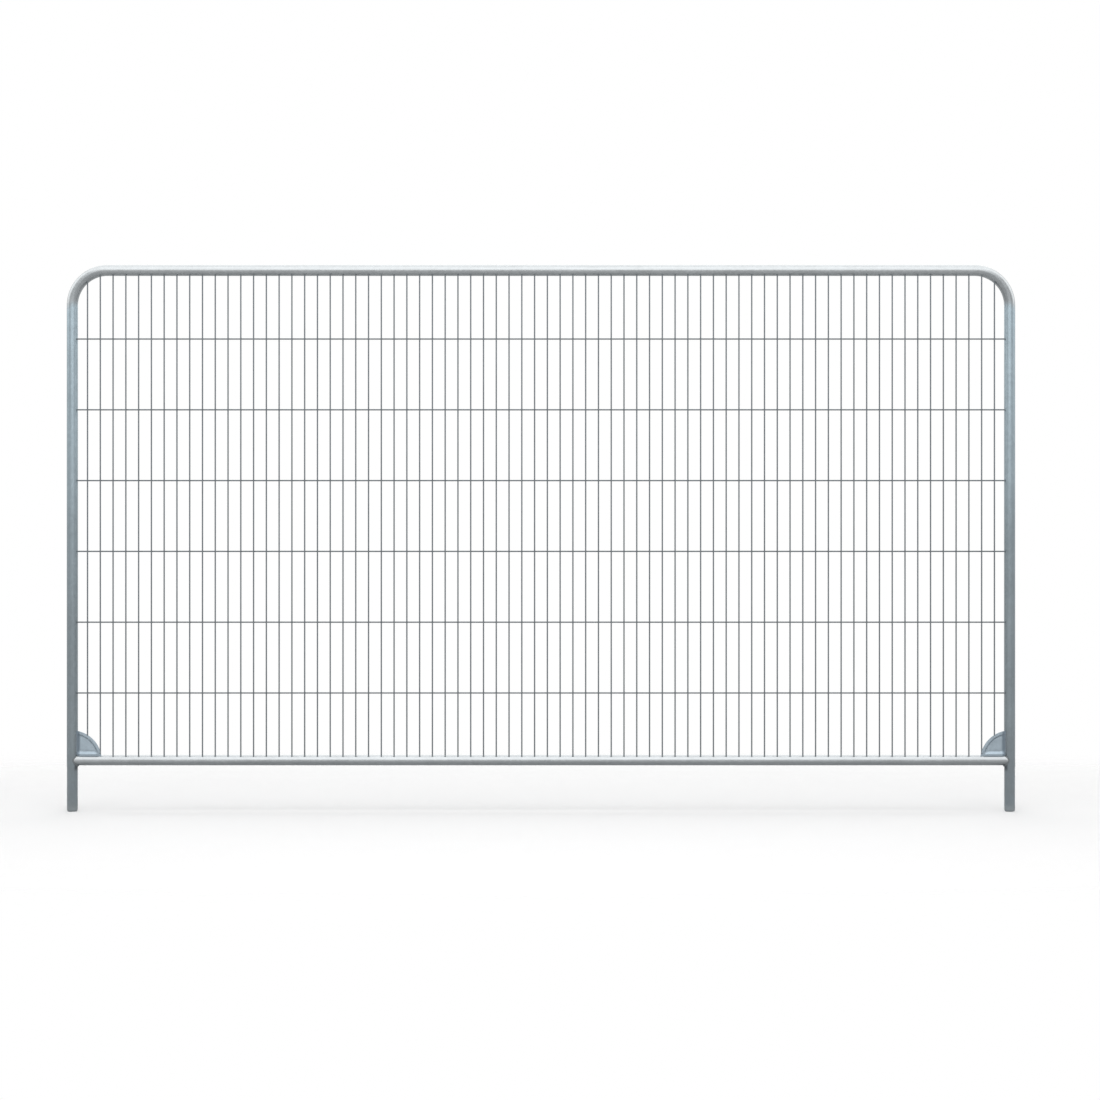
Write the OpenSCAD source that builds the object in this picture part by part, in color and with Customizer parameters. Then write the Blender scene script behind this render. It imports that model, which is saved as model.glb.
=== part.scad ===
// Temporary fence panel: a bent tube hoop, a bottom rail and a welded wire mesh.
// The origin lies midway between the legs, at the level of the foot ends.
// X runs along the panel, Z is up and the front looks towards -Y.

/* [Panel] */
// Overall width, over the outsides of the uprights
panel_w = 3472; // [2400:1:3600]
// Overall height, from the foot ends to the top of the hoop
panel_h = 2000; // [1600:1:2400]

/* [Hoop] */
// Outside diameter of the hoop's tube
tube_d = 40; // [30:0.5:50]
// Wall thickness of the hoop's tube
tube_wall = 1.5; // [1:0.1:3]
// Radius of the two top bends, to the middle of the tube
bend_r = 128; // [90:1:250]
// How much smaller in diameter the legs are sized, to enter a block foot
leg_sizing = 1; // [0.6:0.1:2]
// Clear height between the sized part of a leg and the rail's underside
leg_gap = 6; // [5:0.5:30]
// Length of the tapered nose at each foot end
nose_l = 8; // [4:0.5:20]
// How far the nose draws in, measured on the radius
nose_in = 3; // [1:0.25:5]

/* [Bottom rail] */
// How much smaller in diameter the bottom rail's tube is than the hoop's
rail_step = 2; // [0.5:0.5:10]
// Wall thickness of the bottom rail
rail_wall = 1.5; // [1:0.1:3]
// Height of the rail's axis above the foot ends
rail_h = 187; // [140:1:300]

/* [Mesh] */
// Number of mirrored pairs of vertical wires
wire_pairs = 36; // [20:1:40]
// Diameter of the vertical wires
wire_d = 5; // [3:0.1:6]
// Distance from an upright's axis to the nearest vertical wire
wire_edge = 58; // [40:1:80]
// How far the middles of the vertical wires lie behind the front of the hoop's tube
mesh_inset = 9; // [5:0.5:10]
// Number of cross wires
cross_count = 6; // [3:1:8]
// Diameter of the cross wires
cross_d = 5; // [3:0.1:6]
// Distance from the rail's axis up to the lowest cross wire
cross_low = 246.5; // [150:0.5:300]
// Distance from the top rail's axis down to the highest cross wire
cross_high = 251.5; // [150:0.5:300]
// How far the spot welds sink the wires into each other
weld_sink = 0.4; // [0.1:0.05:0.8]

/* [Gussets] */
// Radius of a gusset's arc, about the crossing of the upright's and rail's axes
gusset_r = 110; // [90:1:160]
// Sheet thickness of a gusset
gusset_t = 2; // [1.5:0.1:3]
// Width of the flat rim along the arc and along the rail
rim_w = 8; // [5:0.5:15]
// Width of the flat rim beside the upright
rim_side = 3; // [3:0.5:10]
// Width of the dish's sloping border
dish_slope = 8.5; // [5:0.5:14]
// Depth of the pressed dish
dish_depth = 5; // [2:0.5:8]
// Gap between a gusset's snipped inner corner and the rail's weld
snip_gap = 1; // [0.5:0.25:3]

/* [Welds] */
// Leg of the weld around each rail end
rail_weld = 2.5; // [1.5:0.1:4]
// Leg of the weld seams along each gusset
gusset_weld = 3; // [1.5:0.1:4]

/* [Hidden] */
$fn = 48;
overrun = 1;
tube_colour = "#93a3aa";
rail_colour = "#8f989c";
wire_colour = "#a7adb0";
gusset_colour = "#9aa8af";
weld_colour = "#868d90";

tube_r = tube_d / 2;
rail_d = tube_d - rail_step;
rail_r = rail_d / 2;
mesh_depth = tube_r - mesh_inset;
post_x = panel_w / 2 - tube_r;
top_z = panel_h - tube_r;
bend_x = post_x - bend_r;
bend_z = top_z - bend_r;
leg_l = rail_h - rail_r - leg_gap;
leg_r = tube_r - leg_sizing / 2;
wire_pitch = 2 * (post_x - wire_edge) / (2 * wire_pairs - 1);
cross_depth = mesh_depth - (wire_d + cross_d) / 2 + weld_sink;
cross_span = top_z - cross_high - rail_h - cross_low;
rim_front = -mesh_depth - gusset_t / 2;
// Distances from the tubes' axes to the lines where the middle of a gusset's sheet meets the tubes
seat_x = sqrt(max(0, tube_r * tube_r - mesh_depth * mesh_depth));
seat_z = sqrt(max(0, rail_r * rail_r - mesh_depth * mesh_depth));
dish_x = seat_x + rim_side;
dish_z = seat_z + rim_w;
dish_r = gusset_r - rim_w;
// Radii and front reaches of the snipped corner, which the seams along the gusset start clear of
snip_post_r = tube_r + rail_weld + snip_gap;
snip_rail_r = rail_r + rail_weld + snip_gap;
seam_x = max(dish_x, sqrt(snip_post_r * snip_post_r - rim_front * rim_front));
seam_z = max(dish_z, sqrt(snip_rail_r * snip_rail_r - rim_front * rim_front));
// Half of the reach of the rail's tongue over the upright's front, where its weld starts
tongue_x = sqrt(max(0, tube_r * tube_r - rail_r * rail_r)) / 2;

pair_names = [for (i = [1 : wire_pairs]) str("wire_pair_", i < 10 ? "0" : "", i)];
cross_names = [for (i = [1 : cross_count]) str("cross_wire_", i)];

// Distance of a wire pair from the panel's middle, counted from the uprights inwards
function pair_x(i) = post_x - wire_edge - (i - 1) * wire_pitch;

// Height of a cross wire, counted from the bottom
function cross_z(i) = rail_h + cross_low + (i - 1) * cross_span / (cross_count - 1);

// Height of the hoop's axis above a place along the panel
function hoop_z(x) = x > bend_x ? bend_z + sqrt(bend_r * bend_r - (x - bend_x) * (x - bend_x)) : top_z;

// Everything is drawn on the right and mirrored to the left
module left_side() {
    mirror([1, 0, 0]) children();
}

module both_sides() {
    children();
    left_side() children();
}

// Places things at the crossing of the right upright's and the rail's axes, with X pointing inwards
module at_corner() {
    translate([post_x, 0, rail_h]) mirror([1, 0, 0]) children();
}

module along_x(d, length) {
    rotate([0, 90, 0]) cylinder(d = d, h = length, center = true);
}

module along_y(r, length) {
    rotate([90, 0, 0]) cylinder(r = r, h = length, center = true);
}

// Outer forms of the tubes, which the ends of the other pieces are cut to

module upright_form(d) {
    translate([post_x, 0, 0]) cylinder(d = d, h = bend_z);
}

module bend_form() {
    translate([bend_x, 0, bend_z]) rotate([90, 0, 0])
        rotate_extrude(angle = 90) translate([bend_r, 0]) circle(d = tube_d);
}

module top_form() {
    translate([0, 0, top_z]) along_x(tube_d, 2 * bend_x);
}

module rail_form(d) {
    translate([0, 0, rail_h]) along_x(d, 2 * post_x);
}

// Hoop

// Half section of an upright, from its tapered foot to the start of the bend
module upright_section() {
    nose_r = leg_r - nose_in;
    step_z = leg_l + leg_sizing;
    polygon([
        [nose_r - tube_wall, 0],
        [nose_r, 0],
        [leg_r, nose_l],
        [leg_r, leg_l],
        [tube_r, step_z],
        [tube_r, bend_z],
        [tube_r - tube_wall, bend_z],
        [tube_r - tube_wall, step_z],
        [leg_r - tube_wall, leg_l],
        [leg_r - tube_wall, nose_l]
    ]);
}

module tube_section() {
    difference() {
        circle(d = tube_d);
        circle(d = tube_d - 2 * tube_wall);
    }
}

module frame_hoop() {
    color(tube_colour) {
        both_sides() {
            translate([post_x, 0, 0]) rotate_extrude() upright_section();
            translate([bend_x, 0, bend_z]) rotate([90, 0, 0])
                rotate_extrude(angle = 90) translate([bend_r, 0]) tube_section();
        }
        translate([-bend_x, 0, top_z]) rotate([0, 90, 0]) linear_extrude(2 * bend_x) tube_section();
    }
}

// Bottom rail

module bottom_rail() {
    color(rail_colour) difference() {
        rail_form(rail_d);
        translate([0, 0, rail_h]) along_x(rail_d - 2 * rail_wall, 2 * (post_x + overrun));
        both_sides() upright_form(tube_d);
    }
}

module rail_weld() {
    reach = tube_r + rail_weld;
    color(weld_colour) difference() {
        intersection() {
            upright_form(tube_d + 2 * rail_weld);
            rail_form(rail_d + 2 * rail_weld);
            at_corner() translate([tongue_x, -tube_r, -reach]) cube([reach, tube_d, 2 * reach]);
        }
        upright_form(tube_d);
        rail_form(rail_d);
    }
}

// Gussets, drawn in the corner with X inwards and Z up

// A block whose near face slopes: it starts at near and moves away by the slope over the dish's depth
module sloped_block(near) {
    lean = dish_slope / dish_depth;
    polygon([
        [near - lean * overrun, -overrun],
        [near + dish_slope, dish_depth],
        [gusset_r, dish_depth],
        [gusset_r, -overrun]
    ]);
}

// The dish as a solid, with its mouth at the given depth
module dish_form(mouth) {
    lean = dish_slope / dish_depth;
    translate([0, mouth, 0]) intersection() {
        linear_extrude(gusset_r) sloped_block(dish_x);
        rotate([0, -90, 0]) mirror([0, 0, 1]) linear_extrude(gusset_r) sloped_block(dish_z);
        rotate([-90, 0, 0]) translate([0, 0, -overrun]) cylinder(
            r1 = dish_r + lean * overrun,
            r2 = dish_r - dish_slope,
            h = dish_depth + overrun
        );
    }
}

// The inner corner is snipped to clear the weld around the rail's end
module corner_snip() {
    intersection() {
        upright_form(2 * snip_post_r);
        rail_form(2 * snip_rail_r);
    }
}

module gusset_blank() {
    intersection() {
        translate([0, rim_front + gusset_t / 2, 0]) along_y(gusset_r, gusset_t);
        translate([0, rim_front, 0]) cube([gusset_r, gusset_t, gusset_r]);
    }
}

module gusset() {
    color(gusset_colour) difference() {
        at_corner() difference() {
            union() {
                gusset_blank();
                intersection() {
                    dish_form(rim_front + gusset_t);
                    translate([0, rim_front + gusset_t / 2, 0]) cube([gusset_r, dish_depth + gusset_t, gusset_r]);
                }
            }
            dish_form(rim_front);
        }
        upright_form(tube_d);
        rail_form(rail_d);
        corner_snip();
    }
}

// The weld seams lie on the rim's front, one along the upright and one along the rail
module gusset_welds() {
    seam_front = rim_front - gusset_weld;
    color(weld_colour) {
        difference() {
            intersection() {
                upright_form(tube_d + 2 * gusset_weld);
                at_corner() translate([0, seam_front, seam_z]) cube([dish_x, gusset_weld, dish_r - seam_z]);
            }
            upright_form(tube_d);
        }
        difference() {
            intersection() {
                rail_form(rail_d + 2 * gusset_weld);
                at_corner() translate([seam_x, seam_front, 0]) cube([dish_r - seam_x, gusset_weld, dish_z]);
            }
            rail_form(rail_d);
        }
    }
}

// Mesh

module wire_rod(i) {
    x = pair_x(i);
    translate([x, -mesh_depth, rail_h]) cylinder(d = wire_d, h = hoop_z(x) - rail_h);
}

// Two vertical wires, cut to the hoop above and to the rail or a gusset's arc below
module wire_pair(i) {
    color(wire_colour) both_sides() difference() {
        wire_rod(i);
        top_form();
        bend_form();
        rail_form(rail_d);
        at_corner() translate([0, -mesh_depth, 0]) along_y(gusset_r, 2 * wire_d);
    }
}

// A cross wire runs behind the vertical wires, which are sunk into it at each crossing
module cross_wire(i) {
    color(wire_colour) difference() {
        translate([0, -cross_depth, cross_z(i)]) along_x(cross_d, 2 * post_x);
        both_sides() {
            upright_form(tube_d);
            for (k = [1 : wire_pairs]) {
                translate([pair_x(k), -mesh_depth, cross_z(i)]) cylinder(d = wire_d, h = 2 * cross_d, center = true);
            }
        }
    }
}

frame_hoop();
bottom_rail();
left_side() gusset();  // left_gusset
gusset();  // right_gusset
left_side() rail_weld();  // left_rail_weld
rail_weld();  // right_rail_weld
left_side() gusset_welds();  // left_gusset_welds
gusset_welds();  // right_gusset_welds
for (i = [1 : cross_count]) cross_wire(i);
for (i = [1 : wire_pairs]) wire_pair(i);
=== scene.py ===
"""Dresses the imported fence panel: zinc-coated tubes, pressed gussets, wires and welds, on a plain stage."""

import math

import bmesh
import bpy
from bpy.props import FloatProperty, FloatVectorProperty, IntProperty, PointerProperty
from mathutils import Matrix, Vector


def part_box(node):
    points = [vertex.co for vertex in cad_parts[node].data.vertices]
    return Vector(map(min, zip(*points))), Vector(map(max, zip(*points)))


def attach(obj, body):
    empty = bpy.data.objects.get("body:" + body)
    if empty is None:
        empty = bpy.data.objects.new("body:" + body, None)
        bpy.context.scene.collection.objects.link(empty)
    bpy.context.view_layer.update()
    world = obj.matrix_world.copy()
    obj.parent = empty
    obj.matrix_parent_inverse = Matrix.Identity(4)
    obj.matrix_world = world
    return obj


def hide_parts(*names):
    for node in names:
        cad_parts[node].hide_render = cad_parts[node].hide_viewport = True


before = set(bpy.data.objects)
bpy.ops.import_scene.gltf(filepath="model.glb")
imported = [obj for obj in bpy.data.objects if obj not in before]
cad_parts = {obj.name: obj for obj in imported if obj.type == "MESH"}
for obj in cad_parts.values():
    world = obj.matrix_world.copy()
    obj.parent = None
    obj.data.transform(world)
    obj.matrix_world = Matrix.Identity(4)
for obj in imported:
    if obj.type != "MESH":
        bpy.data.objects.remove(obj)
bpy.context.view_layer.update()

bl_info = {
    "name": "Fence Panel Dressing",
    "version": (1, 0, 0),
    "blender": (4, 5, 0),
    "location": "View3D > Sidebar > Fence Panel",
    "description": "Builds the smooth tubes, pressed gussets, welds and finishes of a temporary fence panel",
    "category": "Object",
}

BODY = "root"

# Places that the solids give, in metres
HOOP_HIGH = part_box("frame_hoop")[1]
RAIL_LOW, RAIL_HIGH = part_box("bottom_rail")
UPRIGHT_WIRES = sorted(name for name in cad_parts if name.startswith("wire_pair_"))
CROSS_WIRES = sorted(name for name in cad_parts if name.startswith("cross_wire_"))
WIRE_LOW, WIRE_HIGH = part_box(UPRIGHT_WIRES[-1])
CROSS_LOW, CROSS_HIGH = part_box(CROSS_WIRES[0])

RAIL_R = (RAIL_HIGH.z - RAIL_LOW.z) / 2
RAIL_Z = (RAIL_HIGH.z + RAIL_LOW.z) / 2
WIRE_R = (WIRE_HIGH.y - WIRE_LOW.y) / 2
WIRE_Y = (WIRE_HIGH.y + WIRE_LOW.y) / 2
CROSS_Y = (CROSS_HIGH.y + CROSS_LOW.y) / 2

SIDES = (("left", -1.0), ("right", 1.0))
BEAD_SIDES = 12
MERGE = 1e-5

# Fineness of the coat's patterns, per metre
CLOUD_SCALE = 4.5
SMEAR_SCALE = 26.0
RIPPLE_SCALE = 60.0
SKIN_SCALE = 420.0
STREAK_SCALE = (3.0, 220.0, 1.0)

# Depths of the coat's bumps, in metres
RIPPLE_DEPTH = 0.0015
SKIN_DEPTH = 0.0004

# Roughness that the crystals add or take, and that a full film of dirt adds
CRYSTAL_DULL = 0.03
DIRT_DULL = 0.12

# The film of dirt: the heights where it starts and is full, and how much it varies
DIRT_TOP, DIRT_FOOT = 1.9, -0.1
SMEAR = 0.35

# The film of dirt and painted shade on a gusset, in metres from the tubes' axes: where it sets in beside
# the upright, where it ends above the rail, and its share there
NOOK_BESIDE = (0.034, 0.026)
NOOK_ABOVE = (0.028, 0.040)
NOOK_RAIL_SHARE = 0.35


def length(name, description, default, lowest=0.0):
    """A size in metres that the panel shows."""
    return FloatProperty(
        name=name, description=description, default=default, min=lowest, unit="LENGTH", precision=4
    )


def brightness(name, description, default):
    """A brightness that the panel shows."""
    return FloatProperty(name=name, description=description, default=default, min=0.0)


def tint(name, description, default):
    """A linear colour that the panel shows."""
    return FloatVectorProperty(
        name=name, description=description, default=default, size=3, min=0.0, max=1.0, subtype="COLOR"
    )


class FencePanelSizes(bpy.types.PropertyGroup):
    """Sizes of the formed pieces."""

    tube: length("Tube radius", "Outside radius of the hoop's tube", 0.020)
    bend: length("Bend radius", "Radius of the top bends, to the middle of the tube", 0.128)
    wall: length("Tube wall", "Wall thickness of the hoop and the rail", 0.0015)
    leg_draw: length("Leg draw", "How much less radius the sized legs have than the tube", 0.0005)
    leg_gap: length("Leg gap", "Height between the sized part of a leg and the rail's underside", 0.006)
    nose_height: length("Nose height", "Height of the rounded nose at each foot end", 0.008)
    nose_draw: length("Nose draw", "How far the nose draws in at the foot end", 0.003)
    arc: length("Gusset arc", "Radius of a gusset's arc about the crossing of the axes", 0.110)
    sheet: length("Gusset sheet", "Sheet thickness of the gussets", 0.002)
    rim: length("Gusset rim", "Width of the flat rim along the arc and along the rail", 0.008)
    rim_side: length("Side rim", "Width of the flat rim beside the upright", 0.003)
    slope: length("Dish slope", "Width of the dish's sloping border", 0.0085)
    dish: length("Dish depth", "Depth of the pressed dish", 0.005)
    crease: length("Dish crease", "Depth of the crease along the lower edge of the dish's floor", 0.0010)
    snip: length("Snipped corner", "Reach of a gusset's snipped inner corner", 0.023)
    bead: length("Corner bead", "Radius of the beads around the rail ends and along the gussets", 0.0027)
    tack: length("Wire weld", "Radius of the weld at the end of each wire", 0.0033)
    spot: length("Spot weld", "Radius of the squeezed metal at each crossing of the wires", 0.0030)
    sides: IntProperty(name="Tube sides", description="Facets around each tube", default=64, min=16)


class FencePanelColours(bpy.types.PropertyGroup):
    """Linear colours of the zinc coats and the stage, with painted highlights, reflections and shade among
    them.
    """

    # The uprights' colour is the zinc's own with a painted reflection of the horizon, lighter and bluer than
    # the top and the legs.
    tube: tint("Uprights", "Zinc coat of the hoop's uprights", (0.272, 0.332, 0.367))
    # The legs' colour is darker than the uprights' towards the ground.
    legs: tint("Legs", "Dulled zinc coat of the legs and the foot of the uprights", (0.207, 0.246, 0.270))
    # The foot ends are lighter partly from wear by the feet and partly as a painted reflection of the pale
    # floor.
    worn_and_glint: tint("Foot ends", "Zinc coat of the foot ends, worn brighter by the feet", (0.300, 0.330, 0.345))
    # The washed top is a painted highlight: the top tube's upper side and the outside of the bends are
    # lighter where the overhead light falls.
    top: tint("Washed top", "Rain-washed zinc coat on top of the hoop and its bends", (0.360, 0.377, 0.385))
    # The washed rail is a painted highlight on the rail's upper half.
    rail: tint("Washed rail", "Zinc coat on the upper side of the bottom rail", (0.385, 0.402, 0.413))
    # The undersides' colour is painted shade: darker in the bends and on the lower halves of the top tube and
    # the rail.
    under: tint("Undersides", "Duller zinc coat in the bends and under the tubes", (0.245, 0.261, 0.270))
    # The rail's underside is painted shade along the bottom of the rail.
    shade: tint("Rail's underside", "Dulled zinc coat along the bottom of the rail", (0.200, 0.213, 0.221))
    gusset: tint("Gussets", "Zinc coat of the pressed gussets", (0.326, 0.386, 0.432))
    wire: tint("Upright wires", "Dull zinc coat of the upright wires", (0.136, 0.152, 0.164))
    # The cross wires' colour is a darker copy of the wires' zinc: painted shade.
    cross: tint("Cross wires", "Dull zinc coat of the cross wires", (0.114, 0.128, 0.138))
    weld: tint("Welds", "Zinc coat over the weld metal", (0.165, 0.178, 0.187))
    seam: tint("Gusset seams", "Zinc coat over the welds along the gussets", (0.222, 0.258, 0.290))
    soil: tint("Soil", "Dull film of dirt towards the ground", (0.192, 0.209, 0.217))
    # The nooks' colour is dirt and painted shade in the gussets' corners by the upright and the rail.
    nook: tint("Nooks", "Film of dirt on the gussets, by the uprights and the rail", (0.161, 0.197, 0.230))
    # The stains are a painted shadow of the rail's ends, on the uprights' inner sides just under the rail.
    rail_shadow: tint("Stains", "Dark dirt on the uprights, under the rail's ends", (0.080, 0.090, 0.097))
    floor: tint("Floor", "Pale studio floor", (0.915, 0.915, 0.915))


class FencePanelStage(bpy.types.PropertyGroup):
    """Camera and lamps."""

    distance: length("Camera distance", "From the level camera to the panel", 7.6)
    across: length("Camera place", "How far the camera stands right of the panel's middle", 0.033, -1.0)
    height: length("Camera height", "Height of the level camera", 0.9565)
    field: length("Field width", "Width of the picture at the panel", 4.028)
    glow: brightness("Soft boxes", "Brightness of the soft boxes' sheets", 1.3)
    fill: brightness("Fill light", "Strength of the even light all round", 0.1)


def sizes():
    return bpy.context.scene.fence_panel_sizes


def colours():
    return bpy.context.scene.fence_panel_colours


def post_x():
    """Distance of the uprights' axes from the middle of the panel."""
    return HOOP_HIGH.x - sizes().tube


# Mesh helpers


def finish_piece(bm, name, material, slot, *nodes, sharp=math.radians(40)):
    """Makes the bmesh a piece of the panel, which rides on the body in place of its solids."""
    mesh = bpy.data.meshes.new(name)
    bm.to_mesh(mesh)
    bm.free()
    mesh.shade_smooth()
    mesh.set_sharp_from_angle(angle=sharp)
    mesh.materials.append(material)
    piece = bpy.data.objects.new(name, mesh)
    bpy.context.scene.collection.objects.link(piece)
    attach(piece, BODY)
    if nodes:
        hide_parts(*nodes)


def kind_of(geom, kind):
    """The members of an operator's result that are of one kind."""
    return [part for part in geom if isinstance(part, kind)]


def pull(bm, edges):
    """Extrudes a ring of edges in place and returns the new ring's edges and vertices."""
    made = bmesh.ops.extrude_edge_only(bm, edges=edges)["geom"]
    verts = kind_of(made, bmesh.types.BMVert)
    fresh = set(verts)
    ring = [edge for edge in kind_of(made, bmesh.types.BMEdge) if fresh.issuperset(edge.verts)]
    return ring, verts


def sweep(bm, frames, sides, closed=False):
    """Draws a round section through a row of frames, which hold its place, turn and radius."""
    ring_verts = bmesh.ops.create_circle(bm, segments=sides, radius=1.0, matrix=frames[0])["verts"]
    ring = list({edge for vert in ring_verts for edge in vert.link_edges})
    first = ring
    for before, after in zip(frames, frames[1:]):
        ring, verts = pull(bm, ring)
        bmesh.ops.transform(bm, matrix=after @ before.inverted(), verts=verts)
    if closed:
        bmesh.ops.bridge_loops(bm, edges=first + ring)
    return first, ring


def mirror_across(bm):
    """Adds the left half to the right half, joins them in the middle and turns the faces outwards."""
    whole = bm.verts[:] + bm.edges[:] + bm.faces[:]
    bmesh.ops.mirror(bm, geom=whole, matrix=Matrix.Identity(4), merge_dist=MERGE, axis="X")
    bmesh.ops.remove_doubles(bm, verts=bm.verts[:], dist=MERGE)
    bmesh.ops.recalc_face_normals(bm, faces=bm.faces[:])


def lay_coat(bm, run):
    """Maps the coat in metres along the tube and metres around it, kept whole on each face."""
    layer = bm.loops.layers.uv.new("along")
    for face in bm.faces:
        _, middle, girth = run(face.calc_center_median())
        for loop in face.loops:
            along, around, _ = run(loop.vert.co)
            loop[layer].uv = (along, around - girth * round((around - middle) / girth))


# Finishes


class Coat:
    """A material's node tree, with short calls for the nodes that the finishes share."""

    def __init__(self, name):
        self.material = bpy.data.materials.new(name)
        self.material.use_nodes = True
        self.tree = self.material.node_tree
        self.tree.nodes.clear()
        self.column = 0

    def node(self, kind, **settings):
        made = self.tree.nodes.new(kind)
        made.location = (self.column * 180, 0)
        self.column += 1
        for name, value in settings.items():
            setattr(made, name, value)
        return made

    def feed(self, socket, value):
        """Joins an output to an input, or sets the input's constant."""
        if isinstance(value, bpy.types.NodeSocket):
            self.tree.links.new(value, socket)
        else:
            socket.default_value = value

    def place(self):
        return self.node("ShaderNodeTexCoord").outputs["Object"]

    def along(self):
        return self.node("ShaderNodeUVMap", uv_map="along").outputs["UV"]

    def axes(self, vector):
        """The outputs that hold a vector's parts."""
        parts = self.node("ShaderNodeSeparateXYZ")
        self.feed(parts.inputs["Vector"], vector)
        return parts.outputs

    def outside(self, radius):
        """How far a place on a bent tube lies from its middle towards the outside of its bends."""
        turn = self.calc("DIVIDE", self.axes(self.along())["Y"], radius)
        return self.calc("MULTIPLY", self.calc("COSINE", turn), radius)

    def stretch(self, vector, scale):
        mapping = self.node("ShaderNodeMapping")
        self.feed(mapping.inputs["Vector"], vector)
        self.feed(mapping.inputs["Scale"], scale)
        return mapping.outputs["Vector"]

    def noise(self, vector, scale, detail, roughness=0.6):
        noise = self.node("ShaderNodeTexNoise")
        self.feed(noise.inputs["Vector"], vector)
        self.feed(noise.inputs["Scale"], scale)
        self.feed(noise.inputs["Detail"], detail)
        self.feed(noise.inputs["Roughness"], roughness)
        return noise.outputs["Fac"]

    def crystals(self, vector, size):
        """An even random tone for each crystal of the zinc."""
        cells = self.node("ShaderNodeTexVoronoi")
        self.feed(cells.inputs["Vector"], vector)
        self.feed(cells.inputs["Scale"], 1.0 / size)
        tone = self.node("ShaderNodeSeparateColor")
        self.feed(tone.inputs["Color"], cells.outputs["Color"])
        return tone.outputs["Red"]

    def spread(self, value, low, high, start=0.3, end=0.7, smooth=False):
        """Maps a value from start and end, by default those of a noise, to low and high."""
        steps = "SMOOTHSTEP" if smooth else "LINEAR"
        spread = self.node("ShaderNodeMapRange", interpolation_type=steps)
        self.feed(spread.inputs["Value"], value)
        self.feed(spread.inputs["From Min"], start)
        self.feed(spread.inputs["From Max"], end)
        self.feed(spread.inputs["To Min"], low)
        self.feed(spread.inputs["To Max"], high)
        return spread.outputs["Result"]

    def calc(self, operation, first, second=0.0, clamp=False):
        """One step of arithmetic."""
        math_node = self.node("ShaderNodeMath", operation=operation, use_clamp=clamp)
        self.feed(math_node.inputs[0], first)
        self.feed(math_node.inputs[1], second)
        return math_node.outputs["Value"]

    def blend(self, factor, first, second):
        """A mix of two colours, by the colour sockets of the Mix node."""
        mix = self.node("ShaderNodeMix", data_type="RGBA")
        self.feed(mix.inputs[0], factor)
        self.feed(mix.inputs[6], first)
        self.feed(mix.inputs[7], second)
        return mix.outputs[2]

    def ramp(self, value, stops):
        """Runs through colours, each given with the value at which it stands."""
        low, high = stops[0][0], stops[-1][0]
        ramp = self.node("ShaderNodeValToRGB")
        ramp.color_ramp.interpolation = "EASE"
        for _ in stops[2:]:
            ramp.color_ramp.elements.new(1.0)
        for element, (place, colour) in zip(ramp.color_ramp.elements, stops):
            element.position = (place - low) / (high - low)
            element.color = (*colour, 1.0)
        self.feed(ramp.inputs["Fac"], self.spread(value, 0.0, 1.0, low, high))
        return ramp.outputs["Color"]

    def shade(self, colour, tone):
        """A colour times a tone."""
        scale = self.node("ShaderNodeVectorMath", operation="SCALE")
        self.feed(scale.inputs["Vector"], colour)
        self.feed(scale.inputs["Scale"], tone)
        return scale.outputs["Vector"]

    def bump(self, height, strength, depth, over=None):
        bump = self.node("ShaderNodeBump")
        self.feed(bump.inputs["Strength"], strength)
        self.feed(bump.inputs["Distance"], depth)
        self.feed(bump.inputs["Height"], height)
        if over is not None:
            self.feed(bump.inputs["Normal"], over)
        return bump.outputs["Normal"]

    def metal(self, colour, roughness, normal):
        shader = self.node("ShaderNodeBsdfPrincipled")
        self.feed(shader.inputs["Metallic"], 1.0)
        self.feed(shader.inputs["Base Color"], colour)
        self.feed(shader.inputs["Roughness"], roughness)
        self.feed(shader.inputs["Normal"], normal)
        return self.done(shader.outputs["BSDF"])

    def done(self, surface):
        """Ends the tree in its surface and returns the material."""
        out = self.node("ShaderNodeOutputMaterial")
        self.feed(out.inputs["Surface"], surface)
        return self.material


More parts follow.
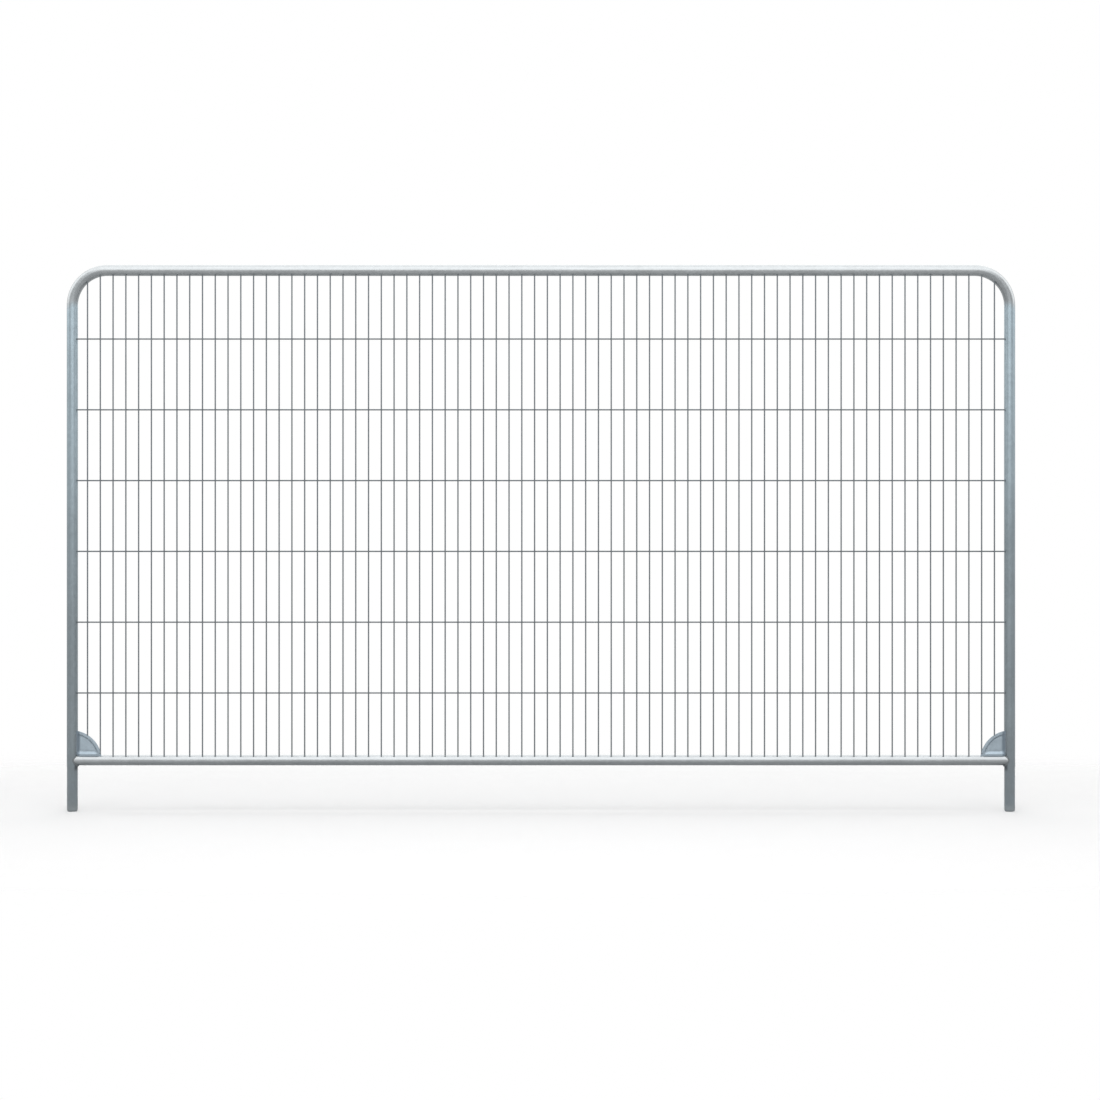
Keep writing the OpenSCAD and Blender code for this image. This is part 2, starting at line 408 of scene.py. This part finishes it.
def zinc(
    name, colour, gloss, crystal, spangle, cloud, streak=0.0, patches=(), soil=0.4, corner=0.0, grain=0.12
):
    """A zinc coat with its crystal spangle, cloudy tone, drawn streaks, fine grain and a film of dirt.

    The colour is one for the whole piece, or a list of heights and the colours that stand there.
    The gloss is the lowest and highest roughness, and the crystal is the size of one in metres.
    The spangle, cloud and streak are shares by which the colour varies.
    A patch is a colour on one side of a bent tube, with the distances from the tube's middle and
    the heights between which it sets in.
    The soil is the dirt's share at the ground, and the corner is the share of dirt and painted shade beside
    the uprights. The grain is the strength of the bumps.
    """
    coat = Coat(name)
    place = coat.place()
    axes = coat.axes(place)
    facets = coat.crystals(place, crystal)
    clouds = coat.noise(place, CLOUD_SCALE, detail=5.0)
    tone = coat.calc(
        "MULTIPLY",
        coat.spread(facets, 1.0 - spangle, 1.0 + spangle, 0.0, 1.0),
        coat.spread(clouds, 1.0 - cloud, 1.0 + cloud),
    )
    if streak:
        lines = coat.noise(coat.stretch(coat.along(), STREAK_SCALE), 1.0, detail=3.0)
        tone = coat.calc("MULTIPLY", tone, coat.spread(lines, 1.0 - streak, 1.0 + streak))
    if isinstance(colour, list):
        colour = coat.ramp(axes["Z"], colour)
    low = coat.spread(axes["Z"], 0.0, soil, DIRT_TOP, DIRT_FOOT, smooth=True)
    smears = coat.noise(place, SMEAR_SCALE, detail=5.0, roughness=0.65)
    film = coat.calc("MULTIPLY", low, coat.spread(smears, 1.0 - SMEAR, 1.0 + SMEAR), clamp=True)
    dirt = colours().soil
    # On the gussets the film also carries painted shade in the corners by the upright and the rail.
    if corner:
        film = coat.calc("MAXIMUM", film, nook_dirt_and_shade(coat, axes, corner))
        dirt = colours().nook
    base = coat.blend(film, coat.shade(colour, tone), (*dirt, 1.0))
    for patch, reach, *heights in patches:
        share = coat.spread(coat.outside(sizes().tube), 0.0, 1.0, *reach, smooth=True)
        for start, end in heights:
            level = coat.spread(axes["Z"], 0.0, 1.0, start, end, smooth=True)
            share = coat.calc("MULTIPLY", share, level)
        base = coat.blend(share, base, coat.shade(patch, tone))
    dull = coat.calc(
        "ADD",
        coat.spread(clouds, *gloss),
        coat.spread(facets, -CRYSTAL_DULL, CRYSTAL_DULL, 0.0, 1.0),
    )
    roughness = coat.calc("ADD", dull, coat.calc("MULTIPLY", film, DIRT_DULL))
    skin = coat.noise(place, SKIN_SCALE, detail=3.0)
    ripple = coat.noise(place, RIPPLE_SCALE, detail=2.0)
    normal = coat.bump(skin, grain, SKIN_DEPTH, coat.bump(ripple, grain, RIPPLE_DEPTH))
    return coat.metal(base, roughness, normal)


def nook_dirt_and_shade(coat, axes, share):
    """The film of dirt and painted shade on a gusset, full beside the upright and thinner above the rail."""
    near, far = (post_x() - distance for distance in NOOK_BESIDE)
    aside = coat.calc("ABSOLUTE", axes["X"])
    beside = coat.spread(aside, 0.0, share, near, far, smooth=True)
    low, high = (RAIL_Z + distance for distance in NOOK_ABOVE)
    above = coat.spread(axes["Z"], NOOK_RAIL_SHARE * share, 0.0, low, high, smooth=True)
    return coat.calc("MAXIMUM", beside, above)


def tube_finish():
    tone = colours()
    axis = HOOP_HIGH.z - sizes().tube
    bend = axis - sizes().bend
    # Height to which the lighter foot ends reach: wear and a painted reflection of the floor.
    worn_and_glint_top = 0.035
    # Heights where the darker legs end and where the uprights' lighter colour is full.
    dark_legs_top, painted_sky_foot = 0.7, 1.5
    zones = [
        (0.0, tone.worn_and_glint),
        (worn_and_glint_top, tone.legs),
        (dark_legs_top, tone.legs),
        # Up to the bend the uprights carry the painted reflection of the horizon.
        (painted_sky_foot, tone.tube),
        (bend - 0.012, tone.tube),
        # Painted shade in the bends and under the top tube.
        (bend + 0.022, tone.under),
        (axis - 0.013, tone.under),
        # Painted highlight on the top tube's upper half.
        (axis + 0.001, tone.top),
    ]
    # Reach and heights of the painted highlight on the outside of the bends.
    outer_side = (-0.002, 0.012)
    bend_start = (bend - 0.030, bend + 0.020)
    # Reach and heights of the painted shadow of the rail's ends on the uprights' inner sides.
    inner_side = (-0.008, -0.016)
    rail_shadow_foot = (RAIL_LOW.z - 0.024, RAIL_LOW.z - 0.008)
    rail_shadow_head = (RAIL_Z + 0.010, RAIL_Z - 0.005)
    patches = [(tone.top, outer_side, bend_start), (tone.rail_shadow, inner_side, rail_shadow_foot, rail_shadow_head)]
    return zinc(
        "zinc_tube",
        zones,
        gloss=(0.30, 0.42),
        crystal=0.011,
        spangle=0.05,
        cloud=0.07,
        streak=0.06,
        patches=patches,
    )


def rail_finish():
    tone = colours()
    # Painted shade along the rail's bottom and lower half, and a painted highlight on its upper half.
    zones = [(RAIL_Z - 0.016, tone.shade), (RAIL_Z - 0.009, tone.under), (RAIL_Z + 0.003, tone.rail)]
    return zinc(
        "zinc_rail",
        zones,
        gloss=(0.28, 0.40),
        crystal=0.011,
        spangle=0.05,
        cloud=0.07,
        streak=0.06,
        soil=0.15,
    )


def gusset_finish():
    return zinc(
        "zinc_sheet",
        colours().gusset,
        gloss=(0.30, 0.42),
        crystal=0.008,
        spangle=0.05,
        cloud=0.05,
        soil=0.1,
        corner=1.0,
    )


def wire_finish(name, colour):
    return zinc(name, colour, gloss=(0.42, 0.55), crystal=0.006, spangle=0.06, cloud=0.10, soil=0.25)


def weld_finish(name, colour):
    return zinc(name, colour, gloss=(0.48, 0.62), crystal=0.003, spangle=0.10, cloud=0.12, grain=0.5)


# Operators


class FENCEPANEL_OT_hoop(bpy.types.Operator):
    """Builds the hoop: one bent tube with sized legs and rounded open feet"""

    bl_idname = "fence_panel.hoop"
    bl_label = "Hoop"

    def bend_centre(self):
        """How far out and how high the middle of a bend lies."""
        size = sizes()
        return post_x() - size.bend, HOOP_HIGH.z - size.tube - size.bend

    def run(self, co):
        """Metres along half of the hoop, metres around its tube, and the tube's girth."""
        size = sizes()
        bend_x, bend_z = self.bend_centre()
        x = abs(co.x)
        if co.z < bend_z:
            along = co.z
            out = x - post_x()
        elif x > bend_x:
            turn = math.atan2(co.z - bend_z, x - bend_x)
            along = bend_z + turn * size.bend
            out = math.hypot(co.z - bend_z, x - bend_x) - size.bend
        else:
            along = bend_z + math.pi / 2 * size.bend + bend_x - x
            out = co.z - bend_z - size.bend
        return along, math.atan2(co.y, out) * size.tube, 2 * math.pi * size.tube

    def stations(self, bend_z):
        """The heights and radii of an upright, from its foot end to its bend."""
        size = sizes()
        nose_steps, upright_steps = 6, 10
        leg_r = size.tube - size.leg_draw
        leg_top = RAIL_LOW.z - size.leg_gap
        stations = []
        for step in range(nose_steps + 1):
            part = step / nose_steps
            radius = leg_r - size.nose_draw * (1 - math.sin(part * math.pi / 2))
            stations.append((part * size.nose_height, radius))
        stations += [(leg_top, leg_r), (leg_top + 2 * size.leg_draw, size.tube)]
        foot = stations[-1][0]
        for step in range(1, upright_steps + 1):
            stations.append((foot + (bend_z - foot) * step / upright_steps, size.tube))
        return stations

    def execute(self, context):
        size = sizes()
        bend_steps, top_steps = 28, 10
        bend_x, bend_z = self.bend_centre()
        frames = [
            Matrix.Translation((post_x(), 0.0, height)) @ Matrix.Diagonal((radius, radius, size.tube, 1.0))
            for height, radius in self.stations(bend_z)
        ]
        bm = bmesh.new()
        _, ring = sweep(bm, frames, size.sides)
        turned = bmesh.ops.spin(
            bm,
            geom=ring,
            cent=(bend_x, 0.0, bend_z),
            axis=(0.0, 1.0, 0.0),
            angle=-math.pi / 2,
            steps=bend_steps,
        )["geom_last"]
        ring = kind_of(turned, bmesh.types.BMEdge)
        for _ in range(top_steps):
            ring, verts = pull(bm, ring)
            bmesh.ops.translate(bm, vec=(-bend_x / top_steps, 0.0, 0.0), verts=verts)
        mirror_across(bm)
        bmesh.ops.solidify(bm, geom=bm.faces[:], thickness=size.wall)
        lay_coat(bm, self.run)
        finish_piece(bm, "hoop_tube", tube_finish(), "tube", "frame_hoop")
        return {"FINISHED"}


class FENCEPANEL_OT_rail(bpy.types.Operator):
    """Builds the bottom rail, with its ends cut to the uprights"""

    bl_idname = "fence_panel.rail"
    bl_label = "Bottom rail"

    def run(self, co):
        """Metres along the rail, metres around it, and its girth."""
        return co.x, math.atan2(co.z - RAIL_Z, co.y) * RAIL_R, 2 * math.pi * RAIL_R

    def execute(self, context):
        size = sizes()
        steps = 12
        # The first ring is cut to the upright, and the others lie clear of it
        start = post_x() - 3 * size.tube
        across = Matrix.Rotation(math.pi / 2, 4, "Y") @ Matrix.Diagonal((RAIL_R, RAIL_R, RAIL_R, 1.0))
        places = [post_x()] + [start * (1 - step / steps) for step in range(steps + 1)]
        frames = [Matrix.Translation((place, 0.0, RAIL_Z)) @ across for place in places]
        bm = bmesh.new()
        first, _ = sweep(bm, frames, size.sides)
        for vert in {vert for edge in first for vert in edge.verts}:
            vert.co.x -= math.sqrt(size.tube**2 - vert.co.y**2)
        mirror_across(bm)
        bmesh.ops.solidify(bm, geom=bm.faces[:], thickness=size.wall)
        lay_coat(bm, self.run)
        finish_piece(bm, "rail_tube", rail_finish(), "rail", "bottom_rail")
        return {"FINISHED"}


class FENCEPANEL_OT_gussets(bpy.types.Operator):
    """Presses the two corner gussets, with a rounded dish inside a flat rim"""

    bl_idname = "fence_panel.gussets"
    bl_label = "Gussets"

    def execute(self, context):
        finish = gusset_finish()
        for side, sign in SIDES:
            self.press(side, sign, finish)
        return {"FINISHED"}

    def beyond(self, u, w, inset, rounding):
        """How far a place lies outside the plate's outline, drawn in by the inset, with round corners.

        The place is given by its distances from the axes of the upright and the rail.
        The plate's edges sink a little into both tubes.
        """
        size = sizes()
        sink = 0.0008
        beside = math.sqrt(size.tube**2 - WIRE_Y**2) - sink
        above = math.sqrt(RAIL_R**2 - WIRE_Y**2) - sink
        fall, run = size.snip - above, size.snip - beside
        snip = (fall * (beside - u) + run * (size.snip - w)) / math.hypot(fall, run)
        narrow = (size.rim - size.rim_side) * min(1.0, inset / size.rim)
        sides = (beside - u - narrow, above - w, math.hypot(u, w) - size.arc, snip - narrow)
        return math.hypot(*(max(0.0, each + inset + rounding) for each in sides)) - rounding

    def set_ring(self, verts, middle, inset, rounding, depth, crease=0.0):
        """Moves a ring's vertices, straight out from the middle, to the outline at an inset and a depth.

        A crease takes the ring's lower edge deeper.
        """
        halvings = 40
        for vert in verts:
            way = Vector((vert.co.x - middle.x, 0.0, vert.co.z - middle.z)).normalized()
            near, far = 0.0, sizes().arc
            for _ in range(halvings):
                reach = (near + far) / 2
                place = middle + way * reach
                if self.beyond(place.x, place.z, inset, rounding) < 0.0:
                    near = reach
                else:
                    far = reach
            vert.co = middle + way * near
            vert.co.y = WIRE_Y - sizes().sheet / 2 + depth + crease * max(0.0, -way.z)

    def levels(self):
        """The rings of a plate from its edge to its floor: inset, rounding, depth and crease."""
        size = sizes()
        folds = 10
        edge_round, rim_round, fold_round, crease_round, floor_round = 0.0015, 0.004, 0.007, 0.0065, 0.006
        edge_loop, rim_loop = 0.0006, 0.0015
        crease_start, crease_end, floor_start, floor_loop = 0.0010, 0.0022, 0.0046, 0.030
        levels = [
            (0.0, edge_round, 0.0),
            (edge_loop, edge_round, 0.0),
            (size.rim - rim_loop, rim_round, 0.0),
        ]
        for fold in range(folds + 1):
            part = fold / folds
            depth = size.dish * part * part * (3 - 2 * part)
            levels.append((size.rim + part * size.slope, fold_round, depth))
        foot = size.rim + size.slope
        return levels + [
            (foot + crease_start, fold_round, size.dish, size.crease),
            (foot + crease_end, crease_round, size.dish, size.crease),
            (foot + floor_start, floor_round, size.dish),
            (floor_loop, floor_round, size.dish),
        ]

    def press(self, side, sign, finish):
        size = sizes()
        segments = 160
        out_share, up_share = 0.46, 0.455
        middle = Vector((out_share * size.arc, 0.0, up_share * size.arc))
        bm = bmesh.new()
        upright = Matrix.Translation(middle) @ Matrix.Rotation(math.pi / 2, 4, "X")
        verts = bmesh.ops.create_circle(bm, segments=segments, radius=0.01, matrix=upright)["verts"]
        ring = bm.edges[:]
        for place, level in enumerate(self.levels()):
            if place:
                ring, verts = pull(bm, ring)
            self.set_ring(verts, middle, *level)
        bmesh.ops.edgeloop_fill(bm, edges=ring)
        bmesh.ops.recalc_face_normals(bm, faces=bm.faces[:])
        if sum(face.normal.y * face.calc_area() for face in bm.faces) > 0.0:
            bmesh.ops.reverse_faces(bm, faces=bm.faces[:])
        bmesh.ops.solidify(bm, geom=bm.faces[:], thickness=size.sheet)
        to_corner = Matrix.Translation((sign * post_x(), 0.0, RAIL_Z))
        facing = Matrix.Diagonal((-sign, 1.0, 1.0, 1.0))
        bmesh.ops.transform(bm, matrix=to_corner @ facing, verts=bm.verts[:])
        if sign > 0.0:
            bmesh.ops.reverse_faces(bm, faces=bm.faces[:])
        finish_piece(bm, f"{side}_gusset_plate", finish, "gusset", f"{side}_gusset")


class FENCEPANEL_OT_corner_welds(bpy.types.Operator):
    """Lays the rippled weld beads around the rail ends and along the gussets"""

    bl_idname = "fence_panel.corner_welds"
    bl_label = "Corner welds"

    ripple_depth = 0.10

    def execute(self, context):
        finish = weld_finish("zinc_weld", colours().weld)
        seam = weld_finish("zinc_seam", colours().seam)
        for side, sign in SIDES:
            self.rail_bead(side, sign, finish)
            self.gusset_beads(side, sign, seam)
        return {"FINISHED"}

    def rail_bead(self, side, sign, finish):
        """A bead around a rail end, thicker underneath."""
        size = sizes()
        steps = 168
        ripples, wavers = 28, 5
        waver_depth, hang = 0.06, 0.6
        frames = []
        for step in range(steps):
            turn = 2 * math.pi * step / steps
            out = Vector((0.0, math.cos(turn), math.sin(turn)))
            place = out * RAIL_R
            place.x = sign * (post_x() - math.sqrt(size.tube**2 - place.y**2))
            round_about = Vector((0.0, -math.sin(turn), math.cos(turn)))
            thick = 1.0 + hang * max(0.0, -math.sin(turn)) ** 2
            ripple = self.ripple_depth * math.sin(ripples * turn)
            waver = waver_depth * math.sin(wavers * turn + sign)
            radius = size.bead * thick * (1.0 + ripple + waver)
            frames.append(self.section(place + Vector((0.0, 0.0, RAIL_Z)), out, round_about, radius))
        bm = bmesh.new()
        sweep(bm, frames, BEAD_SIDES, closed=True)
        bmesh.ops.recalc_face_normals(bm, faces=bm.faces[:])
        finish_piece(bm, f"{side}_rail_bead", finish, "weld", f"{side}_rail_weld")

    def gusset_beads(self, side, sign, finish):
        """Two beads along a gusset, on the upright and on the rail, with blunt ends."""
        size = sizes()
        steps = 96
        ripples = 16
        margin, gap = 0.009, 0.003
        bluntness, thinnest = 12, 0.02
        front = WIRE_Y - size.sheet / 2
        beside = math.sqrt(size.tube**2 - front**2)
        above = math.sqrt(RAIL_R**2 - front**2)
        inward = Vector((-sign, 0.0, 0.0))
        up = Vector((0.0, 0.0, 1.0))
        out = Vector((0.0, -1.0, 0.0))
        corner = Vector((sign * post_x(), front, RAIL_Z))
        bm = bmesh.new()
        for away, rise, reach in ((inward * beside, up, beside), (up * above, inward, above)):
            start = size.snip + gap
            end = math.sqrt(size.arc**2 - reach**2) - margin
            frames = []
            for step in range(steps + 1):
                part = step / steps
                place = corner + away + rise * (start + (end - start) * part)
                swell = math.sqrt(max(thinnest, 1.0 - abs(2 * part - 1.0) ** bluntness))
                ripple = self.ripple_depth * math.sin(2 * math.pi * ripples * part)
                frames.append(self.section(place, out, rise, size.bead * swell * (1.0 + ripple)))
            first, last = sweep(bm, frames, BEAD_SIDES)
            bmesh.ops.edgeloop_fill(bm, edges=first)
            bmesh.ops.edgeloop_fill(bm, edges=last)
        bmesh.ops.recalc_face_normals(bm, faces=bm.faces[:])
        finish_piece(bm, f"{side}_gusset_beads", finish, "weld", f"{side}_gusset_welds")

    def section(self, place, out, along, radius):
        """A section's frame from its place, its outward direction, its run and its radius."""
        turned = Matrix((out, along.cross(out), along)).transposed().to_4x4()
        return Matrix.Translation(place) @ turned @ Matrix.Diagonal((radius, radius, radius, 1.0))


class FENCEPANEL_OT_wires(bpy.types.Operator):
    """Gives the mesh wires their drawn zinc finish"""

    bl_idname = "fence_panel.wires"
    bl_label = "Wires"

    def execute(self, context):
        upright = wire_finish("zinc_wire", colours().wire)
        # The cross wires get the darker copy of the zinc, which is painted shade.
        across = wire_finish("zinc_cross_wire", colours().cross)
        for names, finish in ((UPRIGHT_WIRES, upright), (CROSS_WIRES, across)):
            for name in names:
                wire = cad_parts[name]
                wire.material_slots[0].material = finish
        return {"FINISHED"}


class FENCEPANEL_OT_wire_welds(bpy.types.Operator):
    """Adds the small welds at the wires' ends and crossings"""

    bl_idname = "fence_panel.wire_welds"
    bl_label = "Wire welds"

    def execute(self, context):
        finish = weld_finish("zinc_wire_weld", colours().weld)
        size = sizes()
        proud = 0.0006
        upright_lap, cross_lap = 0.0016, 0.0012
        upright_shape, cross_shape = (1.0, 0.9, 0.75), (0.75, 0.9, 1.0)
        upper, lower, ends, spots = bmesh.new(), bmesh.new(), bmesh.new(), bmesh.new()
        levels = [(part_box(name)[0].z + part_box(name)[1].z) / 2 for name in CROSS_WIRES]
        for name in UPRIGHT_WIRES:
            low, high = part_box(name)
            for x in (high.x - WIRE_R, WIRE_R - high.x):
                head = (x, WIRE_Y - proud, high.z - upright_lap)
                foot = (x, WIRE_Y - proud, low.z + upright_lap)
                self.blob(upper, head, size.tack, upright_shape)
                self.blob(lower, foot, size.tack, upright_shape)
                for level in levels:
                    self.web(spots, (x, (WIRE_Y + CROSS_Y) / 2, level), size.spot)
        for name, level in zip(CROSS_WIRES, levels):
            low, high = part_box(name)
            for x in (low.x + cross_lap, high.x - cross_lap):
                self.blob(ends, (x, CROSS_Y - proud, level), size.tack, cross_shape)
        finish_piece(upper, "top_wire_welds", finish, "weld")
        finish_piece(lower, "bottom_wire_welds", finish, "weld")
        finish_piece(ends, "cross_wire_welds", finish, "weld")
        finish_piece(spots, "mesh_spot_welds", finish, "weld", sharp=math.radians(80))
        return {"FINISHED"}

    def blob(self, bm, place, radius, stretch):
        shape = Matrix.Translation(place) @ Matrix.Diagonal((*(radius * part for part in stretch), 1.0))
        bmesh.ops.create_uvsphere(bm, u_segments=8, v_segments=5, radius=1.0, matrix=shape)

    def web(self, bm, place, radius):
        flatness = 0.45
        shape = Matrix.Translation(place) @ Matrix.Diagonal((radius, flatness * radius, radius, 1.0))
        bmesh.ops.create_icosphere(bm, subdivisions=1, radius=1.0, matrix=shape)


class FENCEPANEL_OT_stage(bpy.types.Operator):
    """Sets the pale floor, the soft studio light and the camera"""

    bl_idname = "fence_panel.stage"
    bl_label = "Stage"

    def execute(self, context):
        scene = context.scene
        scene.view_settings.view_transform = "Standard"
        self.floor(scene)
        self.world(scene)
        self.lamps(scene)
        self.camera(scene)
        return {"FINISHED"}

    def floor(self, scene):
        """A round matt floor that fades out around the panel, further off to its sides."""
        fade_start, fade_end = 0.8, 2.4
        fade_shape = (0.4, 1.0, 1.0)
        bm = bmesh.new()
        bmesh.ops.create_circle(bm, cap_ends=True, segments=96, radius=9.0)
        mesh = bpy.data.meshes.new("studio_floor")
        bm.to_mesh(mesh)
        bm.free()
        floor = bpy.data.objects.new("studio_floor", mesh)
        scene.collection.objects.link(floor)
        coat = Coat("studio_floor")
        far = coat.node("ShaderNodeVectorMath", operation="LENGTH")
        coat.feed(far.inputs[0], coat.stretch(coat.place(), fade_shape))
        fade = coat.spread(far.outputs["Value"], 0.0, 1.0, fade_start, fade_end, smooth=True)
        matt = coat.node("ShaderNodeBsdfDiffuse")
        coat.feed(matt.inputs["Color"], (*colours().floor, 1.0))
        clear = coat.node("ShaderNodeBsdfTransparent")
        mix = coat.node("ShaderNodeMixShader")
        coat.feed(mix.inputs[0], fade)
        coat.feed(mix.inputs[1], matt.outputs["BSDF"])
        coat.feed(mix.inputs[2], clear.outputs["BSDF"])
        mesh.materials.append(coat.done(mix.outputs["Shader"]))

    def world(self, scene):
        """White where it is seen, mirrored or shown through, and a faint fill for the rest."""
        world = bpy.data.worlds.new("studio")
        scene.world = world
        world.use_nodes = True
        tree = world.node_tree
        tree.nodes.clear()
        rays = tree.nodes.new("ShaderNodeLightPath")
        seen = tree.nodes.new("ShaderNodeMath")
        seen.operation = "ADD"
        tree.links.new(rays.outputs["Is Camera Ray"], seen.inputs[0])
        tree.links.new(rays.outputs["Is Glossy Ray"], seen.inputs[1])
        through = tree.nodes.new("ShaderNodeMath")
        through.operation = "ADD"
        tree.links.new(seen.outputs["Value"], through.inputs[0])
        tree.links.new(rays.outputs["Is Transmission Ray"], through.inputs[1])
        level = tree.nodes.new("ShaderNodeMapRange")
        level.inputs["To Min"].default_value = scene.fence_panel_stage.fill
        level.inputs["To Max"].default_value = 1.0
        tree.links.new(through.outputs["Value"], level.inputs["Value"])
        white = tree.nodes.new("ShaderNodeBackground")
        white.inputs["Color"].default_value = (1.0, 1.0, 1.0, 1.0)
        tree.links.new(level.outputs["Result"], white.inputs["Strength"])
        out = tree.nodes.new("ShaderNodeOutputWorld")
        tree.links.new(white.outputs["Background"], out.inputs["Surface"])

    def lamps(self, scene):
        """A tent of soft boxes: a level top and four sheets that slope down from it.

        Each has its name, its share of the glow, the middle of its lower edge, and the two vectors
        that it spans. The front one is brightest.
        """
        low, high = 2.8, 6.3
        rise = high - low
        wall, deep, wide, end = 9.5, 1.5, 4.0, 3.0
        front, sides, rest = 1.2, 1.0, 0.85
        sheets = (
            ("front_softbox", front, (0, -wall, low), (2 * wide, 0, 0), (0, wall - deep, rise)),
            ("back_softbox", rest, (0, wall, low), (-2 * wide, 0, 0), (0, deep - wall, rise)),
            ("top_softbox", rest, (0, -deep, high), (2 * wide, 0, 0), (0, 2 * deep, 0)),
            ("left_softbox", sides, (-wall, 0, low), (0, -2 * end, 0), (wall - wide, 0, rise)),
            ("right_softbox", sides, (wall, 0, low), (0, 2 * end, 0), (wide - wall, 0, rise)),
        )
        for name, share, foot, across, along in sheets:
            self.softbox(scene, name, share, Vector(foot), Vector(across), Vector(along))

    def softbox(self, scene, name, share, foot, across, along):
        light = bpy.data.lights.new(name, "AREA")
        light.shape = "RECTANGLE"
        light.size = across.length
        light.size_y = along.length
        light.energy = share * scene.fence_panel_stage.glow * math.pi * across.length * along.length
        lamp = bpy.data.objects.new(name, light)
        axes = (across.normalized(), along.normalized(), across.cross(along).normalized())
        turned = Matrix(axes).transposed().to_4x4()
        lamp.matrix_world = Matrix.Translation(foot + along / 2) @ turned
        scene.collection.objects.link(lamp)

    def camera(self, scene):
        stage = scene.fence_panel_stage
        data = bpy.data.cameras.new("view")
        data.sensor_width = 36.0
        data.lens = data.sensor_width * stage.distance / stage.field
        camera = bpy.data.objects.new("view", data)
        camera.location = (stage.across, -stage.distance, stage.height)
        camera.rotation_euler = (math.pi / 2, 0.0, 0.0)
        scene.collection.objects.link(camera)
        scene.camera = camera


class FENCEPANEL_PT_dressing(bpy.types.Panel):
    """Lists the steps and their sizes and colours."""

    bl_label = "Fence Panel"
    bl_idname = "FENCEPANEL_PT_dressing"
    bl_space_type = "VIEW_3D"
    bl_region_type = "UI"
    bl_category = "Fence Panel"

    def draw(self, context):
        for operator in STEPS:
            self.layout.operator(operator.bl_idname)
        for group in (
            context.scene.fence_panel_sizes,
            context.scene.fence_panel_colours,
            context.scene.fence_panel_stage,
        ):
            box = self.layout.box()
            for name in group.__annotations__:
                box.prop(group, name)


GROUPS = (FencePanelSizes, FencePanelColours, FencePanelStage)
STEPS = (
    FENCEPANEL_OT_hoop,
    FENCEPANEL_OT_rail,
    FENCEPANEL_OT_gussets,
    FENCEPANEL_OT_corner_welds,
    FENCEPANEL_OT_wires,
    FENCEPANEL_OT_wire_welds,
    FENCEPANEL_OT_stage,
)
CLASSES = (*GROUPS, *STEPS, FENCEPANEL_PT_dressing)


def register():
    for each in CLASSES:
        bpy.utils.register_class(each)
    bpy.types.Scene.fence_panel_sizes = PointerProperty(type=FencePanelSizes)
    bpy.types.Scene.fence_panel_colours = PointerProperty(type=FencePanelColours)
    bpy.types.Scene.fence_panel_stage = PointerProperty(type=FencePanelStage)


def unregister():
    del bpy.types.Scene.fence_panel_stage
    del bpy.types.Scene.fence_panel_colours
    del bpy.types.Scene.fence_panel_sizes
    for each in reversed(CLASSES):
        bpy.utils.unregister_class(each)


def main():
    register()
    bpy.ops.fence_panel.hoop()
    bpy.ops.fence_panel.rail()
    bpy.ops.fence_panel.gussets()
    bpy.ops.fence_panel.corner_welds()
    bpy.ops.fence_panel.wires()
    bpy.ops.fence_panel.wire_welds()
    bpy.ops.fence_panel.stage()


if __name__ == "__main__":
    main()
